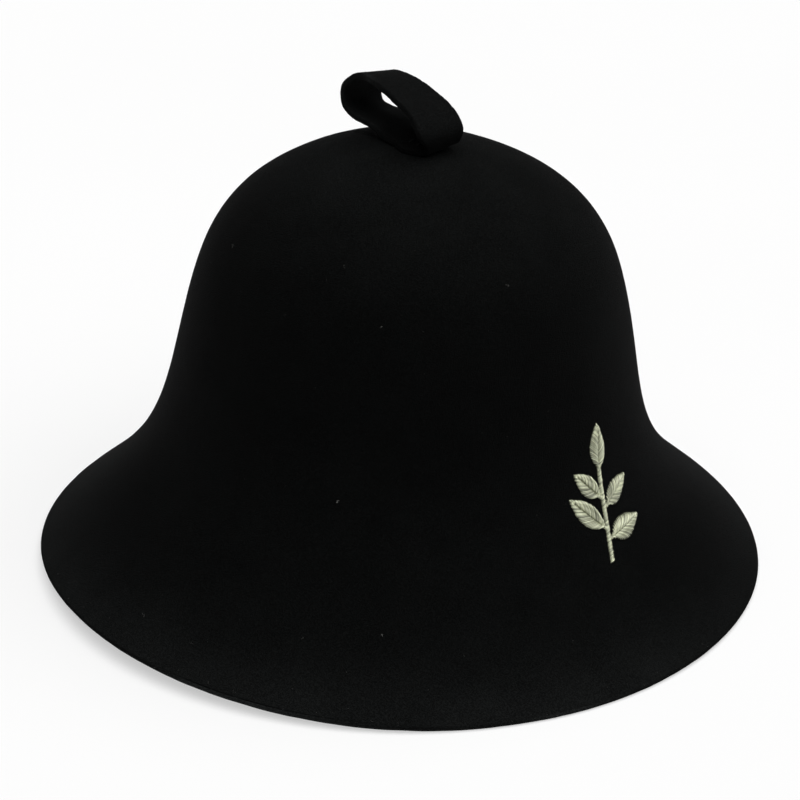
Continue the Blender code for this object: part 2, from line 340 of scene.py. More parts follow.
# ------------------------------------------------------------------ making meshes
def make_object(name, points, polygons, mat, smooth=True, stands_for=None):
    """polygons: a list of integer arrays, each (count, corners)."""
    mesh = bpy.data.meshes.new(name)
    points = np.ascontiguousarray(points.reshape(-1, 3) * MM, np.float32)
    loops = np.concatenate([p.ravel() for p in polygons]).astype(np.int32)
    totals = np.concatenate([np.full(len(p), p.shape[1]) for p in polygons]).astype(np.int32)
    starts = np.concatenate([[0], np.cumsum(totals)[:-1]]).astype(np.int32)
    mesh.vertices.add(len(points))
    mesh.vertices.foreach_set("co", points.ravel())
    mesh.loops.add(len(loops))
    mesh.loops.foreach_set("vertex_index", loops)
    mesh.polygons.add(len(totals))
    mesh.polygons.foreach_set("loop_start", starts)
    mesh.polygons.foreach_set("loop_total", totals)
    mesh.update(calc_edges=True)
    mesh.validate()
    if smooth:
        mesh.shade_smooth()
    mesh.materials.append(mat)
    obj = bpy.data.objects.new(name, mesh)
    bpy.context.scene.collection.objects.link(obj)
    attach(obj, "root")
    if stands_for:
        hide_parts(stands_for)
    return obj


def attribute(obj, name, values):
    layer = obj.data.attributes.new(name, "FLOAT", "POINT")
    layer.data.foreach_set("value", np.ascontiguousarray(values, np.float32))


def ring_quads(rows, cols, closed_rows=False):
    """Quads of a grid that closes round its columns."""
    i = np.arange(rows if closed_rows else rows - 1)[:, None]
    j = np.arange(cols)[None, :]
    n = (i + 1) % rows
    k = (j + 1) % cols
    return np.stack([i * cols + j, i * cols + k, n * cols + k, n * cols + j], -1).reshape(-1, 4)


def normals_of(points, polygons):
    """Unit normals at the points of a mesh of quads and triangles."""
    total = np.zeros_like(points)
    for p in polygons:
        a, b, c = points[p[:, 0]], points[p[:, 1]], points[p[:, 2]]
        n = np.cross(b - a, c - a)
        if p.shape[1] == 4:
            n = n + np.cross(c - a, points[p[:, 3]] - a)
        for k in range(p.shape[1]):
            np.add.at(total, p[:, k], n)
    return unit(total)


def tubes(paths, ups, widths, heights, sides=8):
    """Closed tubes of elliptical section. paths (n, k, 3), ups the way that each point's
    section stands, widths and heights (n, k)."""
    n, k = paths.shape[:2]
    along = np.gradient(paths, axis=1)
    side = unit(np.cross(along, ups))
    up = unit(np.cross(side, along))
    a = 2 * np.pi * np.arange(sides) / sides
    ring = (paths[:, :, None] + side[:, :, None] * (np.cos(a)[:, None] * widths[:, :, None, None] / 2)
            + up[:, :, None] * (np.sin(a)[:, None] * heights[:, :, None, None] / 2))
    pts = ring.reshape(-1, 3)
    base = (np.arange(n) * k * sides)[:, None, None]
    i = np.arange(k - 1)[None, :, None] * sides
    j = np.arange(sides)[None, None, :]
    m = (j + 1) % sides
    quads = np.stack(np.broadcast_arrays(base + i + j, base + i + sides + j,
                                         base + i + sides + m, base + i + m), -1).reshape(-1, 4)
    first = (np.arange(n) * k * sides)[:, None] + np.arange(sides)[None, :]
    last = first + (k - 1) * sides
    return pts, [quads, first, last[:, ::-1]]


# ------------------------------------------------------------------ materials
def new_material(name):
    mat = bpy.data.materials.new(name)
    mat.use_nodes = True
    return mat, mat.node_tree, mat.node_tree.nodes["Principled BSDF"]


def node(tree, kind, settings=(), inputs=()):
    made = tree.nodes.new(kind)
    for key, value in dict(settings).items():
        setattr(made, key, value)
    for key, value in dict(inputs).items():
        made.inputs[key].default_value = value
    return made


def stretched(tree, coords, scale, size, turn, detail=2.0, seed=0.0):
    """Noise drawn out into strands: size per metre, scale the share of it along X, Y, Z."""
    mapping = node(tree, "ShaderNodeMapping", inputs={
        "Rotation": turn, "Scale": scale, "Location": (seed, seed * 0.7, -seed)})
    tree.links.new(coords, mapping.inputs["Vector"])
    noise = node(tree, "ShaderNodeTexNoise", inputs={
        "Scale": size, "Detail": detail, "Roughness": 0.55})
    tree.links.new(mapping.outputs["Vector"], noise.inputs["Vector"])
    return noise.outputs["Fac"]


def math_node(tree, operation, a, b=None, clamp=False):
    made = node(tree, "ShaderNodeMath", {"operation": operation, "use_clamp": clamp})
    for socket, value in zip(made.inputs, (a, b)):
        if value is None:
            continue
        if isinstance(value, (int, float)):
            socket.default_value = value
        else:
            tree.links.new(value, socket)
    return made.outputs[0]


def felt_material(name, dark, light, roughness=0.92, sheen=0.35, tint=0.0094, bump=0.8,
                  mottle=0.32, strand=1.0):
    """Matted wool: strands that cross every way, soft mottling and a low sheen. A value stored at each point
    scales the colour, and carries painted light and painted shade by place."""
    mat, tree, shader = new_material(name)
    coords = node(tree, "ShaderNodeTexCoord").outputs["Object"]

    # the strands wander, so the place that they are read at is shifted a little
    wander = node(tree, "ShaderNodeTexNoise", inputs={"Scale": 260.0, "Detail": 1.0})
    tree.links.new(coords, wander.inputs["Vector"])
    shift = node(tree, "ShaderNodeVectorMath", {"operation": "MULTIPLY_ADD"})
    tree.links.new(wander.outputs["Color"], shift.inputs[0])
    shift.inputs[1].default_value = (0.0024,) * 3
    tree.links.new(coords, shift.inputs[2])
    place = shift.outputs[0]

    k = strand
    fibres = [
        stretched(tree, place, (1.0, 0.22, 1.0), 2300.0 * k, (0.9, 0.6, 2.1), 2.0, 0.11),
        stretched(tree, place, (0.22, 1.0, 1.0), 2100.0 * k, (2.3, 0.8, 0.5), 2.0, 0.23),
        stretched(tree, place, (1.0, 1.0, 0.22), 2500.0 * k, (0.7, 2.2, 1.3), 2.0, 0.37),
    ]
    top = math_node(tree, "MAXIMUM", math_node(tree, "MAXIMUM", fibres[0], fibres[1]), fibres[2])
    ridge = node(tree, "ShaderNodeMapRange", {"interpolation_type": "SMOOTHSTEP"},
                 {"From Min": 0.48, "From Max": 0.78})
    tree.links.new(top, ridge.inputs["Value"])
    grain = node(tree, "ShaderNodeTexNoise", inputs={"Scale": 1700.0, "Detail": 2.0,
                                                     "Roughness": 0.6})
    turned_place = node(tree, "ShaderNodeMapping", inputs={
        "Rotation": (0.7, 0.45, 1.1), "Scale": (1.0, 0.87, 1.13)})
    tree.links.new(place, turned_place.inputs["Vector"])
    tree.links.new(turned_place.outputs["Vector"], grain.inputs["Vector"])
    clumps = node(tree, "ShaderNodeTexNoise", inputs={"Scale": 55.0, "Detail": 3.0,
                                                      "Roughness": 0.55})
    tree.links.new(coords, clumps.inputs["Vector"])

    # colour: dark ground, lighter strands, soft mottling
    pepper = node(tree, "ShaderNodeMapRange", {"interpolation_type": "SMOOTHSTEP"},
                  {"From Min": 0.41, "From Max": 0.61})
    tree.links.new(grain.outputs["Fac"], pepper.inputs["Value"])
    share = math_node(tree, "MULTIPLY", ridge.outputs[0], 0.24)
    share = math_node(tree, "ADD", share,
                      math_node(tree, "MULTIPLY", pepper.outputs[0], 0.43))
    share = math_node(tree, "ADD", share, 0.145)
    cloud = math_node(tree, "MULTIPLY", math_node(tree, "SUBTRACT", clumps.outputs["Fac"], 0.5),
                      mottle)
    share = math_node(tree, "ADD", share, cloud, clamp=True)
    mix = node(tree, "ShaderNodeMix", {"data_type": "RGBA"})
    tree.links.new(share, mix.inputs[0])
    mix.inputs[6].default_value = (*dark, 1.0)
    mix.inputs[7].default_value = (*light, 1.0)
    # the colour scaled by the painted light and shade stored at each point
    painted_shading = node(tree, "ShaderNodeAttribute", {"attribute_name": "painted_shading"})
    colour_with_painted_shading = node(tree, "ShaderNodeVectorMath", {"operation": "SCALE"})
    tree.links.new(mix.outputs[2], colour_with_painted_shading.inputs[0])
    tree.links.new(painted_shading.outputs["Fac"], colour_with_painted_shading.inputs["Scale"])
    tree.links.new(colour_with_painted_shading.outputs[0], shader.inputs["Base Color"])

    rough = node(tree, "ShaderNodeMapRange", inputs={
        "From Min": 0.3, "From Max": 0.7, "To Min": roughness - 0.06, "To Max": roughness + 0.06})
    tree.links.new(grain.outputs["Fac"], rough.inputs["Value"])
    tree.links.new(rough.outputs[0], shader.inputs["Roughness"])

    height = math_node(tree, "ADD", math_node(tree, "MULTIPLY", ridge.outputs[0], 0.35),
                       math_node(tree, "MULTIPLY", grain.outputs["Fac"], 1.0))
    raised = node(tree, "ShaderNodeBump", inputs={"Strength": bump, "Distance": 0.00036})
    tree.links.new(height, raised.inputs["Height"])
    tree.links.new(raised.outputs["Normal"], shader.inputs["Normal"])

    shader.inputs["Specular IOR Level"].default_value = 0.03
    shader.inputs["Sheen Weight"].default_value = sheen
    shader.inputs["Sheen Roughness"].default_value = 0.185
    shader.inputs["Sheen Tint"].default_value = (tint, tint * 1.06, tint * 1.04, 1.0)
    return mat


def fibre_material(name, colour, roughness=0.8, sheen=0.0, tint=0.1):
    """Single loose fibres: each its own shade."""
    mat, tree, shader = new_material(name)
    own = node(tree, "ShaderNodeAttribute", {"attribute_name": "shade"})
    mix = node(tree, "ShaderNodeMix", {"data_type": "RGBA"})
    tree.links.new(own.outputs["Fac"], mix.inputs[0])
    mix.inputs[6].default_value = (*[c * 0.55 for c in colour], 1.0)
    mix.inputs[7].default_value = (*[c * 1.6 for c in colour], 1.0)
    tree.links.new(mix.outputs[2], shader.inputs["Base Color"])
    shader.inputs["Roughness"].default_value = roughness
    shader.inputs["Specular IOR Level"].default_value = 0.1
    if sheen:
        shader.inputs["Sheen Weight"].default_value = sheen
        shader.inputs["Sheen Tint"].default_value = (tint, tint, tint, 1.0)
    return mat


def lint_material(name, dull, pale):
    """Flecks of lint, most of them dull and a few nearly white."""
    mat, tree, shader = new_material(name)
    own = node(tree, "ShaderNodeAttribute", {"attribute_name": "shade"})
    mix = node(tree, "ShaderNodeMix", {"data_type": "RGBA"})
    few = math_node(tree, "POWER", own.outputs["Fac"], 4.2)
    tree.links.new(few, mix.inputs[0])
    mix.inputs[6].default_value = (*dull, 1.0)
    mix.inputs[7].default_value = (*pale, 1.0)
    tree.links.new(mix.outputs[2], shader.inputs["Base Color"])
    shader.inputs["Roughness"].default_value = 0.9
    shader.inputs["Specular IOR Level"].default_value = 0.1
    return mat


def thread_material(name, colour):
    """Glossy embroidery thread: fine filaments, each stitch a slightly different shade."""
    mat, tree, shader = new_material(name)
    coords = node(tree, "ShaderNodeTexCoord").outputs["Object"]
    own = node(tree, "ShaderNodeAttribute", {"attribute_name": "shade"})
    grain = node(tree, "ShaderNodeTexNoise", inputs={"Scale": 5200.0, "Detail": 2.0})
    tree.links.new(coords, grain.inputs["Vector"])
    soil = node(tree, "ShaderNodeTexNoise", inputs={"Scale": 120.0, "Detail": 2.0})
    tree.links.new(coords, soil.inputs["Vector"])
    share = math_node(tree, "ADD", math_node(tree, "MULTIPLY", own.outputs["Fac"], 0.78),
                      math_node(tree, "MULTIPLY", grain.outputs["Fac"], 0.28))
    share = math_node(tree, "ADD", share,
                      math_node(tree, "MULTIPLY", soil.outputs["Fac"], 0.20))
    share = math_node(tree, "SUBTRACT", share, 0.12, clamp=True)
    mix = node(tree, "ShaderNodeMix", {"data_type": "RGBA"})
    tree.links.new(share, mix.inputs[0])
    mix.inputs[6].default_value = (*[c * 0.46 for c in colour], 1.0)
    mix.inputs[7].default_value = (*[min(1.0, c * 2.15) for c in colour], 1.0)
    tree.links.new(mix.outputs[2], shader.inputs["Base Color"])
    raised = node(tree, "ShaderNodeBump", inputs={"Strength": 0.3, "Distance": 0.00008})
    tree.links.new(grain.outputs["Fac"], raised.inputs["Height"])
    tree.links.new(raised.outputs["Normal"], shader.inputs["Normal"])
    shader.inputs["Roughness"].default_value = 0.19
    shader.inputs["Metallic"].default_value = 0.42
    shader.inputs["Specular IOR Level"].default_value = 0.9
    shader.inputs["Coat Weight"].default_value = 0.75
    shader.inputs["Coat Roughness"].default_value = 0.17
    return mat


BODY_FELT = felt_material("black_wool_felt", (0.0007, 0.00078, 0.00076),
                          (0.0062, 0.0067, 0.0066))
STRAP_FELT = felt_material("black_strap_felt", (0.0010, 0.0011, 0.0011),
                           (0.0088, 0.0094, 0.0093), bump=0.9)
NAP_FIBRE = fibre_material("black_wool_fibre", (0.0030, 0.0032, 0.0031))
LINT_FIBRE = lint_material("pale_lint", (0.014, 0.014, 0.0135), (0.40, 0.40, 0.38))
SAGE_THREAD = thread_material("sage_embroidery_thread", (0.372, 0.388, 0.268))
BED_THREAD = thread_material("sage_underlay_thread", (0.20, 0.21, 0.14))
TACK_THREAD = fibre_material("black_sewing_thread", (0.005, 0.0053, 0.0053), roughness=0.6)


# ------------------------------------------------------------------ the sprig's flat frame
def stem_point(t):
    """Middle of the stem and its direction."""
    t = np.asarray(t, float)
    p = np.stack([STEM_BOW * np.sin(np.pi * t), SPRIG_FOOT + t * STEM_LENGTH], -1)
    d = np.stack([STEM_BOW * np.pi * np.cos(np.pi * t) / STEM_LENGTH, np.ones_like(t)], -1)
    return p, unit(d)


def turned(v, degrees):
    c, s = math.cos(math.radians(degrees)), math.sin(math.radians(degrees))
    return np.stack([v[..., 0] * c - v[..., 1] * s, v[..., 0] * s + v[..., 1] * c], -1)


def leaf_half_width(d, length, width):
    """Half width of a leaf at distance d from the stem."""
    f = np.clip((d - STALK_LENGTH) / (length - STALK_LENGTH), 0.0, 1.0)
    bulge = np.sin(np.pi * f ** 0.8) ** 0.9
    wide = np.maximum(STALK_WIDTH / 2 * (1.0 - f), width / 2 * bulge)
    return np.where(d <= STALK_LENGTH, STALK_WIDTH / 2, wide)


def leaf_frame(leaf):
    """Root and direction of a leaf."""
    place, side, angle = leaf[:3]
    mid, up = stem_point(place)
    if side == 0:
        return mid, up
    right = np.array([up[1], -up[0]])
    return mid + right * side * (STEM_WIDTH / 2 - 0.2), turned(up, -side * angle)


def on_bell(p, lift):
    """Places p of the flat frame, laid on the bell, lift over its outer face."""
    lean = math.radians(SPRIG_LEAN)
    x = p[..., 0] * math.cos(lean) + p[..., 1] * math.sin(lean)
    y = -p[..., 0] * math.sin(lean) + p[..., 1] * math.cos(lean)
    t = (SPRIG_ALONG + y) / FELT_LENGTH
    return felt_at(t, np.degrees(x / profile_at(t)[0]), -np.asarray(lift, float))


def off_bell(t, azimuth):
    """The flat frame's place for a point of the bell."""
    lean = math.radians(SPRIG_LEAN)
    x = np.radians(azimuth) * profile_at(t)[0]
    y = t * FELT_LENGTH - SPRIG_ALONG
    return np.stack([x * math.cos(lean) - y * math.sin(lean),
                     x * math.sin(lean) + y * math.cos(lean)], -1)


def sprig_reach(p):
    """Distance outside the stitching (negative inside), over the flat frame."""
    best = np.full(p.shape[:-1], 1e3)
    stem, _ = stem_point(np.linspace(0, 1, 60))
    for q in stem:
        best = np.minimum(best, np.hypot(p[..., 0] - q[0], p[..., 1] - q[1]) - STEM_WIDTH / 2)
    for leaf in LEAVES:
        root, aim = leaf_frame(leaf)
        d = p - root
        along = d @ aim
        across = np.abs(d @ np.array([-aim[1], aim[0]]))
        half = leaf_half_width(along, leaf[3], leaf[4])
        over = np.maximum(along - leaf[3], 0.0) + np.maximum(-along, 0.0)
        best = np.minimum(best, np.hypot(np.maximum(across - half, 0.0), over)
                          + np.minimum(across - half, 0.0) * (over <= 0))
    return best


# ------------------------------------------------------------------ felt body
def eased_steps(marks, count):
    """count numbers spread over a range by weight. marks: (place, weight) pairs."""
    place = np.linspace(marks[0][0], marks[-1][0], 4001)
    weight = np.interp(place, [m[0] for m in marks], [m[1] for m in marks])
    total = np.concatenate([[0.0], np.cumsum((weight[1:] + weight[:-1]) / 2)])
    return np.interp(np.linspace(0, total[-1], count), total, place)


def build_body():
    # closer together round the sprig, so that the felt can sink under its stitches
    columns = eased_steps([(-180, 1.0), (-22, 1.0), (-12, 2.6), (12, 2.6), (22, 1.0),
                           (180, 1.0)], 301)[:-1]
    outer = eased_steps([(0.0, 2.2), (0.02, 1.6), (0.16, 1.5), (0.19, 2.3), (0.41, 2.3),
                         (0.45, 1.2), (0.8, 1.0), (0.995, 1.3)], 226)[1:]
    inner = eased_steps([(0.0, 1.6), (0.3, 1.0), (0.99, 0.9)], 68)[1:]
    corner = np.linspace(0, math.pi / 2, 5)
    lower = 0.22
    rows = [(t, WALL) for t in inner[::-1] if t > 2 * lower / FELT_LENGTH]
    rows += [((lower - lower * math.sin(a)) / FELT_LENGTH, WALL - lower + lower * math.cos(a))
             for a in corner]
    rows += [(0.0, d) for d in np.linspace(WALL - lower, EDGE_ROUND + 0.15, 9)[1:-1]]
    soft = EDGE_ROUND + 0.15
    rows += [((soft - soft * math.cos(a)) / FELT_LENGTH, soft - soft * math.sin(a))
             for a in corner]
    rows += [(d / FELT_LENGTH, 0.0) for d in (0.75, 0.95, 1.08, 1.20, 1.30, 1.40, 1.52, 1.66,
                                              1.85, 2.1)]
    rows += [(t, 0.0) for t in outer if t > 2.5 / FELT_LENGTH]
    t = np.array([r[0] for r in rows])[:, None]
    depth = np.array([r[1] for r in rows])[:, None]
    points = felt_at(t, columns[None, :], depth)
    n_rows, n_cols = points.shape[:2]
    poles = np.stack([felt_at(1.0, 0.0, WALL), felt_at(1.0, 0.0, 0.0)])
    p = np.concatenate([points.reshape(-1, 3), poles])
    quads = ring_quads(n_rows, n_cols)
    j = np.arange(n_cols)
    k = (j + 1) % n_cols
    under = np.stack([k, j, np.full(n_cols, len(p) - 2)], -1)
    top = (n_rows - 1) * n_cols
    over = np.stack([top + j, top + k, np.full(n_cols, len(p) - 1)], -1)
    polygons = [quads, under, over]
    normal = normals_of(p, polygons)
    centre = p[:, :2].mean(0)
    check = normal[-1][2]
    if check < 0:                           # faces point out of the felt
        polygons = [q[:, ::-1] for q in polygons]
        normal = -normal

    depth_all = np.concatenate([np.broadcast_to(depth, (n_rows, n_cols)).ravel(),
                                [WALL, 0.0]])
    t_all = np.concatenate([np.broadcast_to(t, (n_rows, n_cols)).ravel(), [1.0, 1.0]])
    az_all = np.concatenate([np.broadcast_to(columns, (n_rows, n_cols)).ravel(), [0, 0]])
    inside = smooth_step((depth_all - 0.6) / 2.0)
    push = (1 - inside) * (0.11 * soft_noise(p, 31.0, 1) + 0.05 * soft_noise(p, 10.0, 2)
                           + 0.028 * soft_noise(p, 3.4, 3))
    push += inside * (0.12 * soft_noise(p, 17.0, 4) + 0.09 * soft_noise(p, 5.0, 5))
    edge = (depth_all > EDGE_ROUND) & (depth_all < WALL - 0.1)
    push += edge * 0.06 * soft_noise(p * np.array([0.25, 0.25, 1.6]), 1.0, 6)

    # a fine crease where the pressed skin ends, just above the cut edge
    from_rim = t_all * FELT_LENGTH
    deep = np.clip(smooth_step((az_all + 93.0) / 16.0) * smooth_step((-42.0 - az_all) / 30.0)
                   * (0.85 + 0.45 * soft_noise(p, 14.0, 21)), 0.0, 1.0)
    crease = (depth_all < 0.01) * deep * np.exp(-((from_rim - 1.30) / 0.22) ** 2)
    push -= 0.20 * crease

    # the stitches draw the felt in a little, right round them and under them
    near = (depth_all < 0.01) & (np.abs(az_all) < 16) & (t_all > 0.15) & (t_all < 0.46)
    reach = sprig_reach(off_bell(t_all[near], az_all[near]))
    push[near] -= np.where(reach < 0, 0.16 + 0.10 * np.exp(-(reach / 0.9) ** 2),
                           0.26 * np.exp(-(reach / 1.25) ** 2))
    p = p + normal * push[:, None]
    low = p[:, 2] < 0.02
    p[low, 2] = 0.02                        # flat where it rests
    obj = make_object("felt_bell", p, polygons, BODY_FELT,
                      stands_for="felt_body")
    # painted light and shade on the felt by height, paler towards the cut edge, with a slight random tone
    felt_painted_shading = through(PAINTED_SHADING_BY_HEIGHT, t_all) + 0.85 * np.exp(-(from_rim / 20.0) ** 2)
    felt_painted_shading *= 1.0 + 0.06 * soft_noise(p, 24.0, 8) + 0.05 * soft_noise(p, 9.0, 9)
    # painted light: a paler patch on the right of the wall
    felt_painted_shading *= 1.0 + 0.62 * np.exp(-((az_all - 16.0) / 13.0) ** 2 - ((t_all - 0.52) / 0.15) ** 2)
    # painted light: paler high on the left of the crown
    felt_painted_shading *= 1.0 + 0.25 * np.exp(-((az_all + 120.0) / 28.0) ** 2) * smooth_step((t_all - 0.72) / 0.12)
    # painted shade: darker on the left flank of the brim
    felt_painted_shading *= 1.0 - 0.32 * np.exp(-((az_all + 130.0) / 17.0) ** 2 - ((t_all - 0.24) / 0.12) ** 2)
    # painted shade: darker on the right front of the brim
    felt_painted_shading *= 1.0 - 0.34 * smooth_step((az_all + 12.0) / 30.0) * smooth_step((60.0 - az_all) / 30.0) \
        * smooth_step((0.24 - t_all) / 0.10)
    # painted light: the cut face and the felt just above it paler where light from the floor reaches them,
    # most at the front left and in a patch further right
    cut = (depth_all < WALL - 0.2) * smooth_step((1.32 - from_rim) / 0.4)
    pale = 1.0 + 2.3 * deep + 1.9 * np.exp(-((az_all + 24.0) / 13.0) ** 2) \
        * (0.8 + 0.5 * soft_noise(p, 11.0, 22))
    # the cut face takes its painted light, the rest of the felt its painted light and shade, and the crease is
    # darkened with painted shade
    painted_shading = (felt_painted_shading + (pale - felt_painted_shading) * cut) * (1.0 - 0.78 * crease)
    attribute(obj, "painted_shading", painted_shading)
    return obj


# ------------------------------------------------------------------ hanging loop
def loop_point(t, s, w):
    """Points of the strap: t once round it, s across it (-0.5 to 0.5), w through its
    thickness (-1 inside the ring, 1 outside)."""
    t, s, w = np.broadcast_arrays(*[np.asarray(a, float) for a in (t, s, w)])
    back = heading(np.array(180.0 + LOOP_TURN))
    foot = np.array([LOOP_FOOT[0], LOOP_FOOT[1], 0.0])
    foot[2] = crown_height(np.array(foot[0]), np.array(foot[1]))
    c = round_through(LOOP_COURSE, t)
    ahead, behind = round_through(LOOP_COURSE, t + 0.002), round_through(LOOP_COURSE, t - 0.002)
    along = unit(ahead[..., :2] - behind[..., :2])
    out = back * along[..., 1:2]
    out[..., 2] -= along[..., 0]
    across = heading(90.0 + c[..., 3]) * np.sqrt(LOOP_WIDTH ** 2 - c[..., 2] ** 2)[..., None]
    across[..., 2] = -c[..., 2]
    from_fold = (t + 0.51) % 1.0 - 0.5
    share = 1.0 - FOLD_PINCH / LOOP_WIDTH * np.exp(-(from_fold / FOLD_REACH) ** 2)
    mid = foot + back * c[..., 0:1] + across * (s * share + FOLD_SIDE * (1.0 - share))[..., None]
    mid[..., 2] += c[..., 1]
    low = crown_height(mid[..., 0], mid[..., 1]) + LOOP_GAP + LOOP_THICK / 2
    short = (LOOP_CLOSE - (mid[..., 2] - low)) / LOOP_CLOSE
    mid[..., 2] = np.where(short >= 2.0, low,
                           np.where(short > 0.0, mid[..., 2] + LOOP_CLOSE * short * short / 4.0,
                                    mid[..., 2]))
    return mid + out * (w * LOOP_THICK / 2)[..., None]


def strap_section():
    """Once round the strap's own section, its cut edges slightly rounded: (s, w) pairs."""
    half, thick, r = LOOP_WIDTH / 2, LOOP_THICK / 2, 0.95
    corner = np.linspace(0, math.pi / 2, 7)
    faces = np.linspace(-(half - r), half - r, 27)[1:-1]
    edge = np.linspace(-(thick - r), thick - r, 5)[1:-1]
    line = [(x, thick) for x in faces]
    line += [(half - r + r * math.sin(a), thick - r + r * math.cos(a)) for a in corner]
    line += [(half, -y) for y in edge]
    line += [(half - r + r * math.cos(a), -(thick - r) - r * math.sin(a)) for a in corner]
    line += [(-x, -thick) for x in faces]
    line += [(-(half - r) - r * math.sin(a), -(thick - r) - r * math.cos(a)) for a in corner]
    line += [(-half, y) for y in edge]
    line += [(-(half - r) - r * math.cos(a), thick - r + r * math.sin(a)) for a in corner]
    line = np.array(line)
    return line[:, 0] / LOOP_WIDTH, line[:, 1] / thick


def build_loop():
    s, w = strap_section()
    steps = 360
    t = np.arange(steps) / steps
    p = loop_point(t[:, None], s[None, :], w[None, :])
    # the soft strap swells down onto the crown where it lies against it
    over = loop_point(t[:, None], s[None, :], 1.0)
    clear = over[..., 2] - crown_height(over[..., 0], over[..., 1])
    settle = (clear - 0.12) * smooth_step((3.5 - clear) / 1.5)
    settle = settle * (1.0 - 0.75 * np.exp(-(((t[:, None] + 0.5) % 1.0 - 0.5) / 0.05) ** 2))
    share = np.where(clear < 1.2, 1.0, 0.55 + 0.45 * (w[None, :] + 1) / 2)
    p[..., 2] -= np.clip(settle, 0.0, 1.9) * share
    beside = np.exp(-(((t[:, None] - 0.055) / 0.042) ** 2)) * smooth_step((-0.15 - s[None, :]) / 0.35)
    p += heading(np.array(-70.0)) * (0.9 * beside)[..., None]
    p[..., 2] -= 0.5 * beside
    p = p.reshape(-1, 3)
    quads = ring_quads(steps, len(s), closed_rows=True)
    normal = normals_of(p, [quads])
    middle = p.mean(0)
    outer = (np.broadcast_to(w, (steps, len(w))).ravel() > 0.99)
    lead = ((p - middle) * normal).sum(1)[outer].mean()
    if lead < 0:
        quads = quads[:, ::-1]
        normal = -normal
    push = (0.07 * soft_noise(p, 9.0, 11) + 0.045 * soft_noise(p, 3.0, 12)
            + 0.03 * soft_noise(p, 1.2, 13))
    edge = np.broadcast_to(np.abs(s) > 0.5 - 0.75 / LOOP_WIDTH, (steps, len(s))).ravel()
    push = push + edge * (0.10 * soft_noise(p, 2.2, 14) + 0.06 * soft_noise(p, 0.9, 15))
    p = p + normal * push[:, None]
    obj = make_object("hanging_strap", p, [quads], STRAP_FELT,
                      stands_for="hanging_loop")
    fold_painted_shade = np.exp(-((((t + 0.5) % 1.0 - 0.5) + 0.026) / 0.040) ** 2)   # painted shade where the strap turns under at its sewn fold
    # painted highlight on the strap's upper near corner
    corner = np.exp(-((t[:, None] - 0.615) / 0.024) ** 2) * (s[None, :] < -0.42) * (w[None, :] > -0.5)
    # painted shade where the strap lies close over the crown
    contact_painted_shade = smooth_step((3.6 - clear) / 2.4).ravel()
    inner = np.broadcast_to(w, (steps, len(s))).ravel() < -0.6
    deep = inner * np.broadcast_to(smooth_step((s + 0.44) / 0.50) * smooth_step((0.50 - s) / 0.50),
                                   (steps, len(s))).ravel()
    # painted light on the strap's inner face, strongest in the middle of the lower leg
    inside_painted_light = deep * np.repeat(np.interp(t, (0.0, 0.05, 0.14, 0.26, 0.36, 0.48, 0.54),
                                        (0.0, 0.3, 1.5, 1.9, 1.2, 1.0, 0.0)), len(s)) \
        + (1.0 - deep) * inner * 0.45 * np.repeat(smooth_step((0.46 - np.abs(t - 0.33) * 2.6) / 0.2), len(s))
    # painted light and shade along the strap's cut edges: paler on the lower leg and the upper bend, darker
    # further round
    attribute(obj, "painted_shading", (1.0 - 0.64 * np.repeat(fold_painted_shade, len(s))) * (1.0 + 1.0 * corner.ravel())
              * np.where(edge, np.interp(np.repeat(t, len(s)), (0.16, 0.22, 0.40, 0.46, 0.5, 0.56, 0.66, 0.71),
                                         (1.0, 1.1, 1.1, 1.0, 1.0, 1.12, 1.12, 0.80)), 1.0)
              * (1.0 - 0.45 * contact_painted_shade * (1.0 - deep)) * (1.0 + inside_painted_light))
    return obj


def build_tacks():
    """Two short rows of black stitches that hold the strap's fold to the crown."""
    paths, ups = [], []
    for place in (0.035, 0.062):
        for k in range(4):
            s = np.linspace(-0.36 + 0.195 * k, -0.36 + 0.195 * k + 0.135, 9)
            f = np.linspace(0, 1, 9)
            w = -(0.80 + 0.42 * np.sin(np.pi * f) ** 0.5)
            line = loop_point(np.full(9, place) + 0.0006 * (-1) ** k, s, w)
            up = loop_point(np.full(9, place), s, -1.5) - loop_point(np.full(9, place), s, -0.5)
            paths.append(line)
            ups.append(unit(up))
    paths, ups = np.array(paths), np.array(ups)
    size = np.full(paths.shape[:2], 0.42)
    pts, polygons = tubes(paths, ups, size, size * 0.8)
    obj = make_object("loop_tack_stitches", pts, polygons, TACK_THREAD)
    shades(obj, np.repeat(rng.random(len(paths)), paths.shape[1] * 8))
    return obj


def shades(obj, values):
    attribute(obj, "shade", values)


# ------------------------------------------------------------------ stitched sprig
def across_line(mid, side, half, jitter):
    a = mid - side * (half + jitter[0])
    b = mid + side * (half + jitter[1])
    return a, b


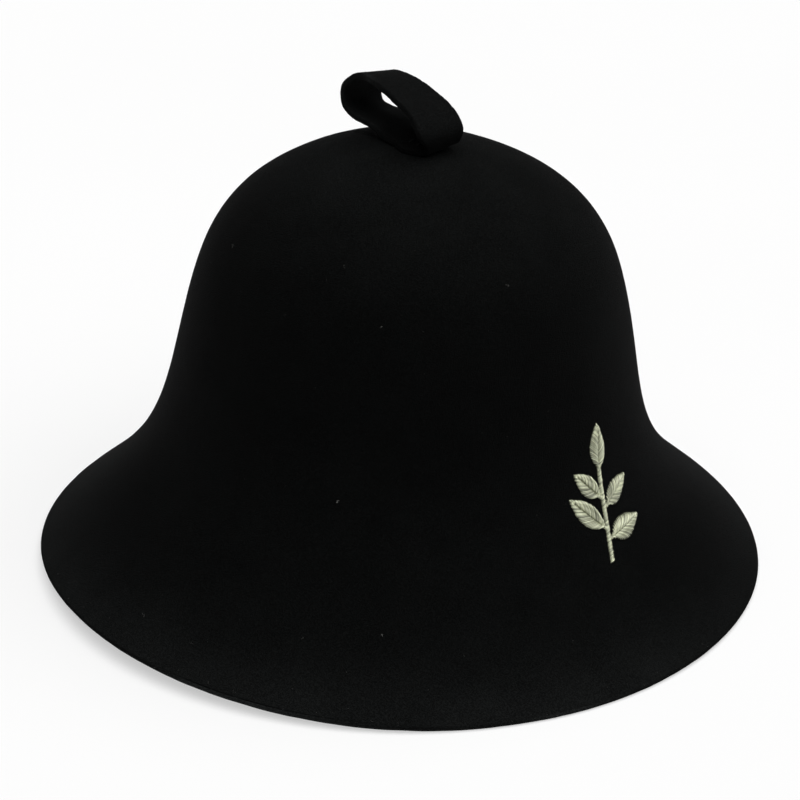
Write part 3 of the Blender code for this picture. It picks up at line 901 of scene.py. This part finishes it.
def sprig_stitches():
    """The ends of every stitch in the flat frame, and how high it stands: rows of
    (start, end, height in the middle, height at the start)."""
    rows = []

    def jitter():
        return rng.normal(0, 0.10, 2).clip(-0.22, 0.22)

    # the stem, wrapped at a slant like a rope
    step = THREAD_PITCH / math.sin(math.radians(58)) / STEM_LENGTH
    for t in np.arange(0.004, 1.02, step):
        mid, up = stem_point(t)
        side = turned(up, -58.0)
        a, b = across_line(mid, side, STEM_WIDTH / 2 / math.sin(math.radians(58)), jitter())
        rows.append((a, b, 0.64, -0.32))
    for leaf in LEAVES:
        root, aim = leaf_frame(leaf)
        left = np.array([-aim[1], aim[0]])
        length, width = leaf[3], leaf[4]
        # the stalk, stitched straight across
        for d in np.arange(0.1, STALK_LENGTH + 1.0, THREAD_PITCH):
            a, b = across_line(root + aim * d, left, STALK_WIDTH / 2, jitter())
            rows.append((a, b, 0.34, -0.32))
        # the blade, each half stitched outward and forward from the midrib
        for side in (1, -1):
            d = STALK_LENGTH * 0.7
            while d < length * 0.955:
                f = d / length
                slant = math.radians(66.0 - 32.0 * min(1.0, f / 0.45))
                run = np.linspace(0.05, width, 400)
                along = d + run * math.cos(slant)
                room = leaf_half_width(along, length, width)
                out = run * math.sin(slant)
                past = np.nonzero((out >= room) | (along >= length))[0]
                reach = run[past[0]] if len(past) else run[-1]
                if reach > 0.45:
                    a = root + aim * d + left * side * 0.02
                    far = reach + rng.normal(0, 0.13)
                    b = (root + aim * (d + far * math.cos(slant))
                         + left * side * far * math.sin(slant))
                    rows.append((a, b, 0.44 + 0.52 * min(1.0, reach / 4.6), -0.10))
                d += THREAD_PITCH / math.sin(slant) * (1 + rng.normal(0, 0.03))
        # the tip, closed by a few long stitches
        for k in range(-1, 2):
            a = root + aim * (length * 0.86) + left * 0.22 * k
            b = root + aim * (length - 0.25 * abs(k)) + left * 0.10 * k
            rows.append((a, b, 0.36, -0.2))
    return rows


def build_sprig():
    rows = sprig_stitches()
    k = 13
    f = np.linspace(0, 1, k)
    a = np.array([r[0] for r in rows])[:, None]
    b = np.array([r[1] for r in rows])[:, None]
    high = np.array([r[2] for r in rows])[:, None]
    start = np.array([r[3] for r in rows])[:, None]
    n = len(rows)
    bow = rng.normal(0, 0.03, (n, 1, 1)) * np.sin(np.pi * f)[None, :, None]
    line = a + (b - a) * f[None, :, None]
    side = unit(b - a)[..., ::-1] * np.array([-1.0, 1.0])
    line = line + side * bow
    hump = np.sin(np.pi * np.clip(f, 0, 1)) ** 0.68
    end = -0.34
    ground = start + (end - start) * smooth_step((f[None, :] - 0.55) / 0.45)
    rib = 0.07 * np.sin(2 * np.pi * np.arange(n) / 3.3 + 0.9 * np.sin(np.arange(n) / 5.0))
    lift = ground + (high + rib[:, None] + rng.normal(0, 0.03, (n, 1)) - ground) * hump[None, :]
    paths = on_bell(line, lift)
    ups = unit(on_bell(line, lift + 0.5) - paths)
    size = THREAD * (1 + rng.normal(0, 0.07, (n, 1))) * (0.84 + 0.16 * hump[None, :])
    sides = 8
    pts, polygons = tubes(paths, ups, size, size * 0.86, sides)
    obj = make_object("sprig_satin_stitches", pts, polygons, SAGE_THREAD,
                      stands_for="embroidered_sprig")
    # the threads that stand higher in each rib are painted paler, a painted highlight; the rest is random tone
    # per stitch
    own = np.clip(0.5 + 4.4 * rib + rng.normal(0, 0.22, n), 0, 1)
    shades(obj, np.repeat(own, k * sides))
    return obj


def build_bed():
    """The padding stitches under the satin, a low cushion under each leaf."""
    pts, polygons, base = [], [], 0
    for leaf in LEAVES:
        root, aim = leaf_frame(leaf)
        left = np.array([-aim[1], aim[0]])
        rows, cols = 30, 15
        d = np.linspace(STALK_LENGTH * 0.5, leaf[3] - 0.7, rows)
        half = np.maximum(leaf_half_width(d, leaf[3], leaf[4]) - 0.45, 0.12)
        c = np.linspace(-1, 1, cols)
        flat = (root + aim * d[:, None, None]
                + left * (half[:, None] * c[None, :])[..., None])
        rise = (0.05 + 0.30 * np.minimum(1.0, half / 3.5))[:, None] \
            * np.sqrt(np.clip(np.sin(np.pi * np.abs(c)), 0, 1))[None, :]
        rise[0], rise[-1] = -0.3, -0.3
        rise[:, 0], rise[:, -1] = -0.3, -0.3
        over = on_bell(flat, rise).reshape(-1, 3)
        under = on_bell(flat, np.full_like(rise, -0.5)).reshape(-1, 3)
        i = np.arange(rows - 1)[:, None] * cols
        j = np.arange(cols - 1)[None, :]
        q = np.stack([i + j, i + j + 1, i + cols + j + 1, i + cols + j], -1).reshape(-1, 4)
        m = rows * cols
        rim = np.concatenate([np.arange(cols), np.arange(1, rows) * cols + cols - 1,
                              (rows - 1) * cols + np.arange(cols - 2, -1, -1),
                              np.arange(rows - 2, 0, -1) * cols])
        nxt = np.roll(rim, -1)
        wall = np.stack([nxt, rim, rim + m, nxt + m], -1)
        pts += [over, under]
        polygons += [base + q, base + q[:, ::-1] + m, base + wall]
        base += 2 * m
    pts = np.concatenate(pts)
    normal = normals_of(pts, polygons)
    out = unit(on_bell(np.array([[0.0, 0.0]]), 1.0) - on_bell(np.array([[0.0, 0.0]]), 0.0))[0]
    if normal[15 * 8 + 4] @ out < 0:
        polygons = [q[:, ::-1] for q in polygons]
    obj = make_object("sprig_padding", pts, polygons, BED_THREAD)
    shades(obj, np.full(len(pts), 0.4))
    return obj


# ------------------------------------------------------------------ nap and lint
def spikes(root, normal, length, lean, width):
    """Straight short fibres, each a closed sliver of four faces."""
    n = len(root)
    any_way = rng.normal(size=(n, 3))
    flat = unit(any_way - normal * (any_way * normal).sum(1, keepdims=True))
    aim = unit(normal * np.cos(lean)[:, None] + flat * np.sin(lean)[:, None])
    side = unit(np.cross(aim, normal + 1e-4))
    other = np.cross(side, aim)
    a = np.arange(3) * 2 * np.pi / 3
    ring = (root[:, None] + side[:, None] * np.cos(a)[:, None] * width[:, None, None] / 2
            + other[:, None] * np.sin(a)[:, None] * width[:, None, None] / 2)
    tip = root + aim * length[:, None]
    pts = np.concatenate([ring, tip[:, None]], 1).reshape(-1, 3)
    b = np.arange(n)[:, None] * 4
    tris = np.concatenate([b + np.array([[0, 1, 3]]), b + np.array([[1, 2, 3]]),
                           b + np.array([[2, 0, 3]]), b + np.array([[2, 1, 0]])])
    return pts, [tris], 4


def curls(root, normal, length, lean, width, bend, segments=3):
    """Longer fibres that curl: closed three-sided tubes ending in a point."""
    n = len(root)
    any_way = rng.normal(size=(n, 3))
    flat = unit(any_way - normal * (any_way * normal).sum(1, keepdims=True))
    other = np.cross(normal, flat)
    f = np.linspace(0, 1, segments + 1)
    sweep = bend[:, None] * f[None, :]
    going = (flat[:, None] * np.cos(sweep)[..., None] + other[:, None] * np.sin(sweep)[..., None])
    lift = np.cos(lean)[:, None] * (1.0 - 0.75 * f[None, :])
    step = unit(going * np.sin(lean)[:, None, None] + normal[:, None] * lift[..., None])
    path = root[:, None] + np.concatenate(
        [np.zeros((n, 1, 3)), np.cumsum((step[:, :-1] + step[:, 1:]) / 2, 1)], 1
    ) * (length / segments)[:, None, None]
    wide = width[:, None] * np.concatenate([np.ones(segments), [0.25]])[None, :]
    ups = np.broadcast_to(normal[:, None], path.shape) + flat[:, None] * 0.05
    pts, polygons = tubes(path, ups, wide, wide, 3)
    return pts, polygons, 3 * (segments + 1)


def bell_samples(count, weight=None):
    """Random places on the bell's outer face, even over its area: t, azimuth."""
    t = np.linspace(0.0, 0.998, 2000)
    w = profile_at(t)[0] * (weight(t) if weight else 1.0)
    total = np.cumsum(w)
    return (np.interp(rng.random(count) * total[-1], total, t), rng.random(count) * 360 - 180)


def merge(parts):
    pts, polygons, shade, base = [], [], [], 0
    for p, polys, per in parts:
        pts.append(p)
        polygons += [q + base for q in polys]
        shade.append(np.repeat(rng.random(len(p) // per), per))
        base += len(p)
    return np.concatenate(pts), polygons, np.concatenate(shade)


def build_nap():
    for name, low, high, count in (("brim_nap", 0.0, 0.42, 44000),
                                   ("crown_nap", 0.42, 0.998, 44000)):
        t, az = bell_samples(count, lambda t: ((t >= low) & (t <= high)) + 1e-9)
        bare = (np.abs(az) < 16) & (t > 0.15) & (t < 0.46)
        keep = np.ones(count, bool)
        keep[bare] = sprig_reach(off_bell(t[bare], az[bare])) > 0.5
        t, az = t[keep], az[keep]
        normal = felt_normal(t, az)
        root = felt_at(t, az) - normal * 0.12
        n = len(t)
        made = spikes(root, normal, 0.30 + 0.42 * rng.random(n) ** 2,
                      np.radians(rng.uniform(42, 86, n)), rng.uniform(0.022, 0.040, n))
        pts, polygons, shade = merge([made])
        obj = make_object(name, pts, polygons, NAP_FIBRE)
        shades(obj, shade)

    # longer loose fibres all over, and a rougher fringe along the cut edge
    t, az = bell_samples(3800)
    normal = felt_normal(t, az)
    bare = (np.abs(az) < 16) & (t > 0.15) & (t < 0.46)
    keep = np.ones(len(t), bool)
    keep[bare] = sprig_reach(off_bell(t[bare], az[bare])) > 0.8
    t, az, normal = t[keep], az[keep], normal[keep]
    n = len(t)
    long_ = curls(felt_at(t, az) - normal * 0.15, normal, 0.7 + 1.1 * rng.random(n) ** 2,
                  np.radians(rng.uniform(55, 84, n)), rng.uniform(0.022, 0.034, n),
                  rng.normal(0, 1.3, n))
    n = 5200
    az = rng.random(n) * 360 - 180
    d = rng.uniform(0.1, WALL - 0.25, n)
    root = felt_at(np.zeros(n), az, d)
    away = unit(felt_at(np.full(n, 0.0), az, d) - felt_at(np.full(n, 0.01), az, d))
    edge = curls(root - away * 0.12, away, 0.35 + 0.55 * rng.random(n) ** 2,
                 np.radians(rng.uniform(20, 80, n)), rng.uniform(0.022, 0.036, n),
                 rng.normal(0, 1.2, n), 2)
    edge_pts = edge[0]
    edge_pts[:, 2] = np.maximum(edge_pts[:, 2], 0.03)
    pts, polygons, shade = merge([long_, (edge_pts, edge[1], edge[2])])
    obj = make_object("loose_fibres", pts, polygons, NAP_FIBRE)
    shades(obj, shade)

    # the strap's nap
    n = 9000
    t = rng.random(n)
    s, w = strap_section()
    pick = rng.integers(0, len(s), n)
    on_face = rng.random(n) < 0.72
    ss = np.where(on_face, rng.uniform(-0.49, 0.49, n), s[pick])
    ww = np.where(on_face, np.sign(rng.random(n) - 0.5), w[pick])
    side = np.where(rng.random(n) < 0.5, 0.5, -0.5)
    ss = np.where(on_face, ss, side)
    ww = np.where(on_face, ww, rng.uniform(-0.8, 0.8, n))
    root = loop_point(t, ss, ww)
    out = unit(loop_point(t, ss, ww + 0.5) - root) * np.sign(ww)[:, None]
    off = unit(loop_point(t, ss * 1.05, ww) - root)
    normal = np.where(on_face[:, None], out, off)
    made = spikes(root - normal * 0.12, normal, 0.28 + 0.42 * rng.random(n) ** 2,
                  np.radians(rng.uniform(35, 84, n)), rng.uniform(0.022, 0.038, n))
    m = 900
    few = rng.integers(0, n, m)
    longer = curls(root[few] - normal[few] * 0.12, normal[few], 0.6 + 0.8 * rng.random(m) ** 2,
                   np.radians(rng.uniform(40, 82, m)), rng.uniform(0.022, 0.034, m),
                   rng.normal(0, 1.2, m))
    pts, polygons, shade = merge([made, longer])
    obj = make_object("strap_nap", pts, polygons, NAP_FIBRE)
    shades(obj, shade)


def build_lint():
    """Flecks of lint that have settled on the felt, thickest along the cut edge."""
    t, az = bell_samples(560, lambda t: 0.6 + 1.4 * (t < 0.14))
    normal = felt_normal(t, az)
    n = len(t)
    flecks = curls(felt_at(t, az) + normal * 0.04, normal, 0.12 + 0.75 * rng.random(n) ** 3,
                   np.radians(rng.uniform(80, 89, n)), rng.uniform(0.05, 0.13, n),
                   rng.normal(0, 2.2, n), 4)
    n = 150
    az = rng.uniform(-180, 180, n)
    along = np.abs(rng.normal(0, 0.011, n))
    normal = felt_normal(along + 0.003, az)
    rim = curls(felt_at(along, az) + normal * 0.04, normal, 0.12 + 0.6 * rng.random(n) ** 2,
                np.radians(rng.uniform(70, 89, n)), rng.uniform(0.06, 0.16, n),
                rng.normal(0, 2.2, n), 4)
    # tufts of it that have caught here and there
    t = np.concatenate([c[0] + rng.normal(0, c[3], c[2]) / FELT_LENGTH for c in LINT_TUFTS])
    az = np.concatenate([c[1] + np.degrees(rng.normal(0, c[3], c[2]) / profile_at(c[0])[0])
                         for c in LINT_TUFTS])
    tuft_shade = np.concatenate([np.full(c[2], c[4]) for c in LINT_TUFTS])
    t = np.abs(t)
    normal = felt_normal(t + 0.003, az)
    n = len(t)
    tufts = curls(felt_at(t, az) + normal * 0.05, normal, 0.20 + 0.7 * rng.random(n) ** 2,
                  np.radians(rng.uniform(72, 88, n)), rng.uniform(0.08, 0.15, n),
                  rng.normal(0, 2.4, n), 4)
    # and a few on the strap
    n = 14
    t, s = rng.uniform(0.50, 0.92, n), rng.uniform(-0.47, 0.47, n)
    t[:3], s[:3] = (0.676, 0.726, 0.728), (0.0, 0.292, 0.31)
    on = loop_point(t, s, np.ones(n))
    normal = unit(loop_point(t, s, np.full(n, 1.5)) - on)
    strap = curls(on + normal * 0.08, normal, 0.12 + 0.5 * rng.random(n) ** 2,
                  np.radians(rng.uniform(78, 89, n)), rng.uniform(0.05, 0.11, n),
                  rng.normal(0, 2.2, n), 4)
    pts, polygons, shade = merge([flecks, rim, strap, tufts])
    shade[-len(tufts[0]):] = np.repeat(tuft_shade, tufts[2]) * (0.92 + 0.14 * shade[-len(tufts[0]):])
    shade[:len(flecks[0]) + len(rim[0])] *= 0.78
    first = len(flecks[0]) + len(rim[0])
    shade[first:first + len(strap[0])] *= 0.7
    shade[first:first + 3 * strap[2]] = 0.9
    obj = make_object("settled_lint", pts, polygons, LINT_FIBRE)
    shades(obj, shade)


build_body()
build_loop()
build_tacks()
build_bed()
build_sprig()
build_nap()
build_lint()


# ------------------------------------------------------------------ floor, light, camera
def build_stage():
    mat, tree, shader = new_material("pale_floor")
    coords = node(tree, "ShaderNodeTexCoord").outputs["Object"]
    noise = node(tree, "ShaderNodeTexNoise", inputs={"Scale": 3.0, "Detail": 3.0})
    tree.links.new(coords, noise.inputs["Vector"])
    mix = node(tree, "ShaderNodeMix", {"data_type": "RGBA"})
    tree.links.new(noise.outputs["Fac"], mix.inputs[0])
    mix.inputs[6].default_value = (0.39, 0.39, 0.388, 1.0)
    mix.inputs[7].default_value = (0.41, 0.41, 0.41, 1.0)
    tree.links.new(mix.outputs[2], shader.inputs["Base Color"])
    # a white table lit softly from below, so that it stays pale close to the hat
    shader.inputs["Emission Color"].default_value = (1.0, 1.0, 1.0, 1.0)
    shader.inputs["Emission Strength"].default_value = 0.53
    shader.inputs["Roughness"].default_value = 0.85
    shader.inputs["Specular IOR Level"].default_value = 0.2
    size = 6.0
    mesh = bpy.data.meshes.new("floor")
    mesh.from_pydata([(-size, -size, 0), (size, -size, 0), (size, size, 0), (-size, size, 0)],
                     [], [(0, 1, 2, 3)])
    mesh.materials.append(mat)
    floor = bpy.data.objects.new("floor", mesh)
    bpy.context.scene.collection.objects.link(floor)

    # the same pale floor carried on to the horizon, for low views
    far_mat, _, far_shader = new_material("pale_floor_far")
    far_shader.inputs["Base Color"].default_value = (0.86, 0.86, 0.86, 1.0)
    far_shader.inputs["Roughness"].default_value = 0.85
    far_shader.inputs["Specular IOR Level"].default_value = 0.2
    wide = 200.0
    far_mesh = bpy.data.meshes.new("floor_far")
    far_mesh.from_pydata([(-wide, -wide, -0.002), (wide, -wide, -0.002), (wide, wide, -0.002),
                          (-wide, wide, -0.002)], [], [(0, 1, 2, 3)])
    far_mesh.materials.append(far_mat)
    far = bpy.data.objects.new("floor_far", far_mesh)
    bpy.context.scene.collection.objects.link(far)

    world = bpy.data.worlds.new("studio")
    bpy.context.scene.world = world
    world.use_nodes = True
    back = world.node_tree.nodes["Background"]
    back.inputs["Color"].default_value = (1.0, 1.0, 1.0, 1.0)
    back.inputs["Strength"].default_value = 0.12
    # above the horizon a low view sees a plain pale backdrop
    nodes, links = world.node_tree.nodes, world.node_tree.links
    pale = nodes.new("ShaderNodeBackground")
    pale.inputs["Color"].default_value = (1.0, 1.0, 1.0, 1.0)
    pale.inputs["Strength"].default_value = 0.97
    seen = nodes.new("ShaderNodeLightPath")
    either = nodes.new("ShaderNodeMixShader")
    links.new(seen.outputs["Is Camera Ray"], either.inputs[0])
    links.new(back.outputs["Background"], either.inputs[1])
    links.new(pale.outputs["Background"], either.inputs[2])
    links.new(either.outputs["Shader"], nodes["World Output"].inputs["Surface"])

    sky = bpy.data.lights.new("overhead_soft_light", "SUN")
    sky.angle = math.radians(88.0)
    sky.energy = 3.3
    lamp = bpy.data.objects.new("overhead_soft_light", sky)
    bpy.context.scene.collection.objects.link(lamp)
    lamp.location = (0.0, 0.0, 2.0)
    toward = Vector((0.05, -0.25, 0.97))
    lamp.rotation_euler = toward.to_track_quat("Z", "Y").to_euler()

    scene = bpy.context.scene
    scene.view_settings.view_transform = "Standard"
    scene.view_settings.look = "None"

    back_v = Vector((-0.6904211640, -0.5837056637, 0.4273245633))
    right_v = Vector((0.6528685689, -0.7571926713, 0.0205386296))
    up_v = Vector((0.3115785420, 0.2931670845, 0.9038648605))
    place = Vector((-834.3484, -703.4188, 584.7344)) * MM
    data = bpy.data.cameras.new("camera")
    data.sensor_width = 36.0
    data.lens = 2773.68 * 36.0 / 800.0
    data.clip_start, data.clip_end = 0.05, 400.0
    cam = bpy.data.objects.new("camera", data)
    scene.collection.objects.link(cam)
    cam.matrix_world = Matrix((
        (right_v.x, up_v.x, back_v.x, place.x),
        (right_v.y, up_v.y, back_v.y, place.y),
        (right_v.z, up_v.z, back_v.z, place.z),
        (0.0, 0.0, 0.0, 1.0)))
    scene.camera = cam


build_stage()
